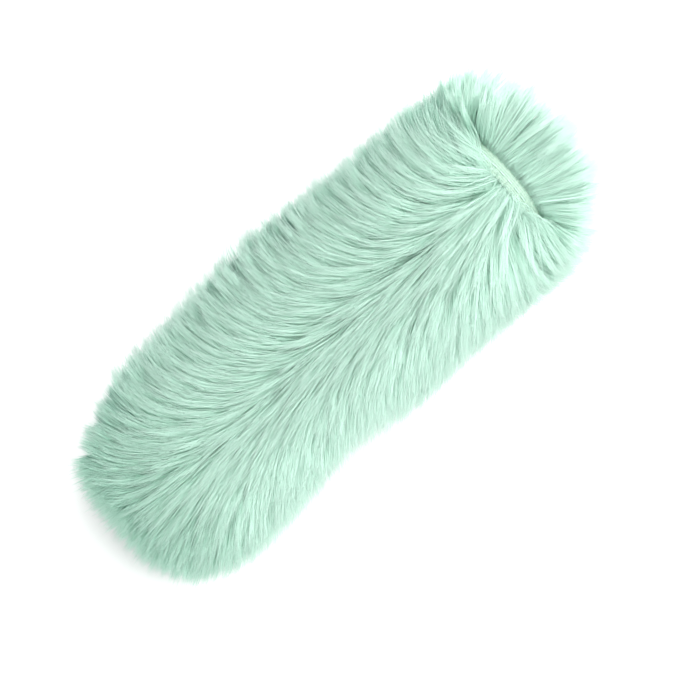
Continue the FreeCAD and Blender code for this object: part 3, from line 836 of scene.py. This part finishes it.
def elastic_ribbon(material):
    """Braided elastic: ribs along its length that bulge between their crossing threads. Its two
    ends lap on the underside, the outer one over the inner."""
    width = band_high[0] - band_low[0]
    outer_r = band_high[2] - AXIS_Z
    thick, relief = 1.1 * mm, 0.10 * mm
    lap = math.radians(20)
    ribs, steps_per_rib = 7, 6
    pitch, steps_per_pitch = 1.3 * mm, 6
    turns = 2 * math.pi + lap
    rows = int(turns * outer_r / pitch * steps_per_pitch)
    begin = math.pi - lap / 2
    count = ribs * steps_per_rib
    across = np.linspace(0, 1, count + 1)
    rib = np.minimum((across * ribs).astype(int), ribs - 1)
    vertices = []
    for row in range(rows):
        turn = row / (rows - 1) * turns
        angle = begin + turn
        step_up = (thick + 0.05 * mm) * smooth(turn, turns - lap * 1.9, turns - lap * 1.1)
        beat = turn * outer_r / pitch * math.pi
        over_rib = np.abs(np.sin(across * ribs * math.pi))
        crossing = np.abs(np.sin(beat + rib * math.pi / 2))
        bulge = relief * over_rib ** 0.7 + relief * crossing * over_rib ** 2
        top = outer_r - 2 * relief + bulge + step_up
        bottom = outer_r - thick + relief - 0.5 * bulge + step_up
        radius = np.concatenate([bottom, top[::-1]])
        x = band_low[0] + width * np.concatenate([across, across[::-1]])
        vertices.append(np.stack([
            x, -radius * math.sin(angle), AXIS_Z + radius * math.cos(angle)], 1))
    columns = 2 * (count + 1)
    faces, uv = grid(rows, columns, False)
    ends = [np.arange(columns)[::-1], np.arange(columns) + (rows - 1) * columns]
    loops = np.concatenate([faces.ravel(), *ends])
    sizes = np.append(np.full(len(faces), 4), [columns, columns])
    uv = np.concatenate([uv.reshape(-1, 2), np.full((2 * columns, 2), 0.5)])
    return build_mesh("elastic_woven", np.concatenate(vertices), loops, sizes, material, uv)


HEM_DEPTH = 13 * mm
HEM_GAP = 0.3 * mm
WALES = 120  # columns of knit stitches round the sleeve
COURSE = 1.6 * mm  # from one row of stitches to the next
LOOP_RELIEF = 0.10 * mm


def knitted(points):
    """Rows of interlocked loops, each column of them a rounded rib with a slanting beat."""
    angle = np.arctan2(-points[..., 1], points[..., 2])
    wale = angle / (2 * math.pi) * WALES
    beside = np.abs(wale % 1.0 - 0.5)
    beat = np.sin(2 * math.pi * (points[..., 0] / COURSE + beside))
    loops = np.sin(math.pi * (wale % 1.0)) ** 0.6 * (0.65 + 0.35 * beat)
    return LOOP_RELIEF * loops - LOOP_RELIEF / 2


def backing_tube(material):
    """The knit cloth that the fur grows on, turned in at the mouth. Only its hem is seen, so
    only that has the loops' full detail."""
    outer, inner = CLOTH_R, CLOTH_R - CLOTH_THICK
    hem_outer, hem_inner = inner - HEM_GAP, inner - HEM_GAP - CLOTH_THICK
    fold_x, hem_back = HEM_X - FOLD_R, HEM_X - HEM_DEPTH
    fine, hidden, coarse = 0.4 * mm, 3 * mm, 24 * mm
    stops = [(CLOTH_END_X, outer, coarse), (hem_back - 6 * mm, outer, fine)]
    stops += bend(fold_x, outer - FOLD_R, FOLD_R, 90, -90, fine)
    stops += [(hem_back, hem_inner, fine), (hem_back, hem_outer, hidden),
              (fold_x, hem_outer, HEM_GAP), (fold_x, inner, hidden),
              (hem_back, inner, coarse), (CLOTH_END_X, inner, 0.6 * mm)]
    line = outline(stops + stops[:1])[:-1]
    return turned("backing_knit", line, 4 * WALES, True, knitted, material)


def backing_end(material):
    """The round of knit cloth sewn into the closed end, its edge turned in along the tube."""
    low, high = corners("end_backing")
    rim = (high[2] - low[2]) / 2
    inside = rim - CLOTH_THICK
    floor_x = low[0] + CLOTH_THICK
    coarse = 1.2 * mm
    stops = [(low[0], AXIS_HOLE_R, coarse), (low[0], inside, 0.3 * mm)]
    stops += bend(floor_x, inside, CLOTH_THICK, 180, 90, 0.5 * mm)
    stops += [(high[0], rim, 0.6 * mm), (high[0], inside, coarse), (floor_x, inside, coarse),
              (floor_x, AXIS_HOLE_R, coarse)]
    return turned("backing_end_knit", outline(stops), 2 * WALES, False, knitted, material)


NET_SIDE = 1.6 * mm  # of a hexagon, from thread middle to thread middle
NET_THREAD = 0.74 * mm  # width of the threads between the holes


def net_tube(material):
    """The lining: a net of hexagonal holes rolled into a tube."""
    low, high = corners("lining_tube")
    outer = (high[2] - low[2]) / 2
    inner = outer - 0.5 * mm
    flat, quads = net_cells(2 * math.pi * outer, high[0] - low[0] - 2 * NET_SIDE, NET_SIDE,
                            NET_THREAD, True)
    angle = flat[:, 0] / outer
    x = low[0] + NET_SIDE + flat[:, 1]
    spoke = np.stack([np.zeros(len(flat)), -np.sin(angle), np.cos(angle)], 1)
    sides = []
    for radius in (outer, inner):
        side = spoke * radius + [0, 0, AXIS_Z]
        side[:, 0] = x
        sides.append(side)
    return both_sides("lining_mesh", *sides, quads, flat, material)


def net_round(material):
    """The lining's round end, cut from the same net."""
    low, high = corners("lining_end")
    radius = (high[2] - low[2]) / 2
    flat, quads = net_cells(2 * radius, 2 * radius, NET_SIDE, NET_THREAD, False)
    flat = flat - (flat.max(0) + flat.min(0)) / 2
    cell = flat[quads].mean(1)
    quads = quads[np.hypot(cell[:, 0], cell[:, 1]) < radius - NET_SIDE * 0.3]
    used, quads = np.unique(quads, return_inverse=True)
    flat, quads = flat[used], quads.reshape(-1, 4)
    flat = flat * np.minimum(1, radius / np.hypot(flat[:, 0], flat[:, 1]))[:, None]
    sides = [np.stack([np.full(len(flat), x), flat[:, 0], AXIS_Z + flat[:, 1]], 1)
             for x in (high[0], low[0])]
    return both_sides("lining_end_mesh", *sides, quads, flat, material)


band = elastic_ribbon(elastic_finish())
put_on(band, "fur_cover", "elastic_band")

knit = knit_finish()
backing = backing_tube(knit)
put_on(backing, "fur_cover", "body_backing")
closing = backing_end(knit)
put_on(closing, "fur_cover", "end_backing")

net = net_finish()
lining = net_tube(net)
put_on(lining, "fur_cover", "lining_tube")
lining_round = net_round(net)
put_on(lining_round, "fur_cover", "lining_end")

# ------------------------------------------------------------------ foam

BORE_R = 10.5 * mm
SOCKET_R = 13.15 * mm
NOSE_FLAT = 9 * mm  # radius of the flat round at the nose's tip
FOAM_GRAIN = 0.62 * mm  # spacing of the foam's points along it
FOAM_COLUMNS = 240  # points round it


def foam_surface(points):
    """Open cells of two sizes, cut through at the surface."""
    return pits(points, 2.1 * mm, 0.50 * mm, 21) + pits(points, 1.1 * mm, 0.16 * mm, 22)


def foam_tube(material):
    """The long foam sleeve, bored for the microphone and counterbored for the boot."""
    back, front = core_low[0], core_high[0]
    socket_x = corners("mic_boot")[0][0] - 0.6 * mm
    back_edge, front_edge = 0.3 * mm, 1.0 * mm
    stops = bend(back + back_edge, CORE_R - back_edge, back_edge, 180, 90, FOAM_GRAIN)
    stops += bend(front - front_edge, CORE_R - front_edge, front_edge, 90, 0, FOAM_GRAIN)
    stops += [(front, SOCKET_R, FOAM_GRAIN), (socket_x, SOCKET_R, FOAM_GRAIN),
              (socket_x, BORE_R, 2.2 * mm), (back, BORE_R, FOAM_GRAIN)]
    line = outline(stops + stops[:1])[:-1]
    return turned("foam_sleeve_cells", line, FOAM_COLUMNS, True, foam_surface, material)


def foam_plug(material):
    """The solid foam nose, its front edge well rounded."""
    low, high = corners("foam_nose")
    bulge = CORE_R - NOSE_FLAT
    stops = [(low[0], AXIS_HOLE_R, FOAM_GRAIN)]
    stops += bend(low[0] + bulge, NOSE_FLAT, bulge, 180, 90, FOAM_GRAIN)
    stops += [(high[0], CORE_R, FOAM_GRAIN), (high[0], AXIS_HOLE_R, FOAM_GRAIN)]
    return turned("foam_nose_cells", outline(stops), FOAM_COLUMNS, False, foam_surface, material)


foam = foam_finish()
for made, node in ((foam_tube(foam), "foam_sleeve"), (foam_plug(foam), "foam_nose")):
    put_on(made, "foam_core", node)

# ------------------------------------------------------------------ floor, light and camera


def stage_floor():
    mesh = bpy.data.meshes.new("floor")
    half = 3.0
    mesh.from_pydata([(-half, -half, 0), (half, -half, 0), (half, half, 0), (-half, half, 0)], [],
                     [(0, 1, 2, 3)])
    floor = bpy.data.objects.new("floor", mesh)
    bpy.context.collection.objects.link(floor)
    material, _, shader = new_material("floor_white", Roughness=0.9)
    shader.inputs["Base Color"].default_value = (0.96, 0.96, 0.96, 1)
    mesh.materials.append(material)


def add_light(name, place, size, power):
    lamp = bpy.data.lights.new(name, "AREA")
    lamp.shape = "DISK"
    lamp.size = size
    lamp.energy = power
    light = bpy.data.objects.new(name, lamp)
    light.location = place
    light.rotation_euler = (-Vector(place)).to_track_quat("-Z", "Y").to_euler()
    bpy.context.collection.objects.link(light)


def lighting():
    world = bpy.data.worlds.new("studio")
    bpy.context.scene.world = world
    world.use_nodes = True
    background = world.node_tree.nodes["Background"]
    background.inputs["Color"].default_value = (1, 1, 1, 1)
    background.inputs["Strength"].default_value = 1.09
    add_light("key", (0.40, -0.34, 1.05), size=1.7, power=24)
    bpy.context.scene.cycles.diffuse_bounces = 9
    bpy.context.scene.view_settings.view_transform = "Standard"


def camera():
    azimuth, elevation = math.radians(-44), math.radians(75)
    back = Vector((math.sin(azimuth) * math.cos(elevation),
                   -math.cos(azimuth) * math.cos(elevation), math.sin(elevation)))
    right = Vector((math.cos(azimuth), math.sin(azimuth), 0))
    up = back.cross(right)
    distance = 1.3
    view_width = 303 * mm
    target = Vector((0, 0, AXIS_Z)) + right * 7 * mm - up * 10 * mm
    data = bpy.data.cameras.new("camera")
    data.sensor_width = 36
    data.lens = data.sensor_width * distance / view_width
    eye = bpy.data.objects.new("camera", data)
    eye.location = target + back * distance
    eye.rotation_euler = back.to_track_quat("Z", "Y").to_euler()
    bpy.context.collection.objects.link(eye)
    bpy.context.scene.camera = eye


stage_floor()
lighting()
camera()
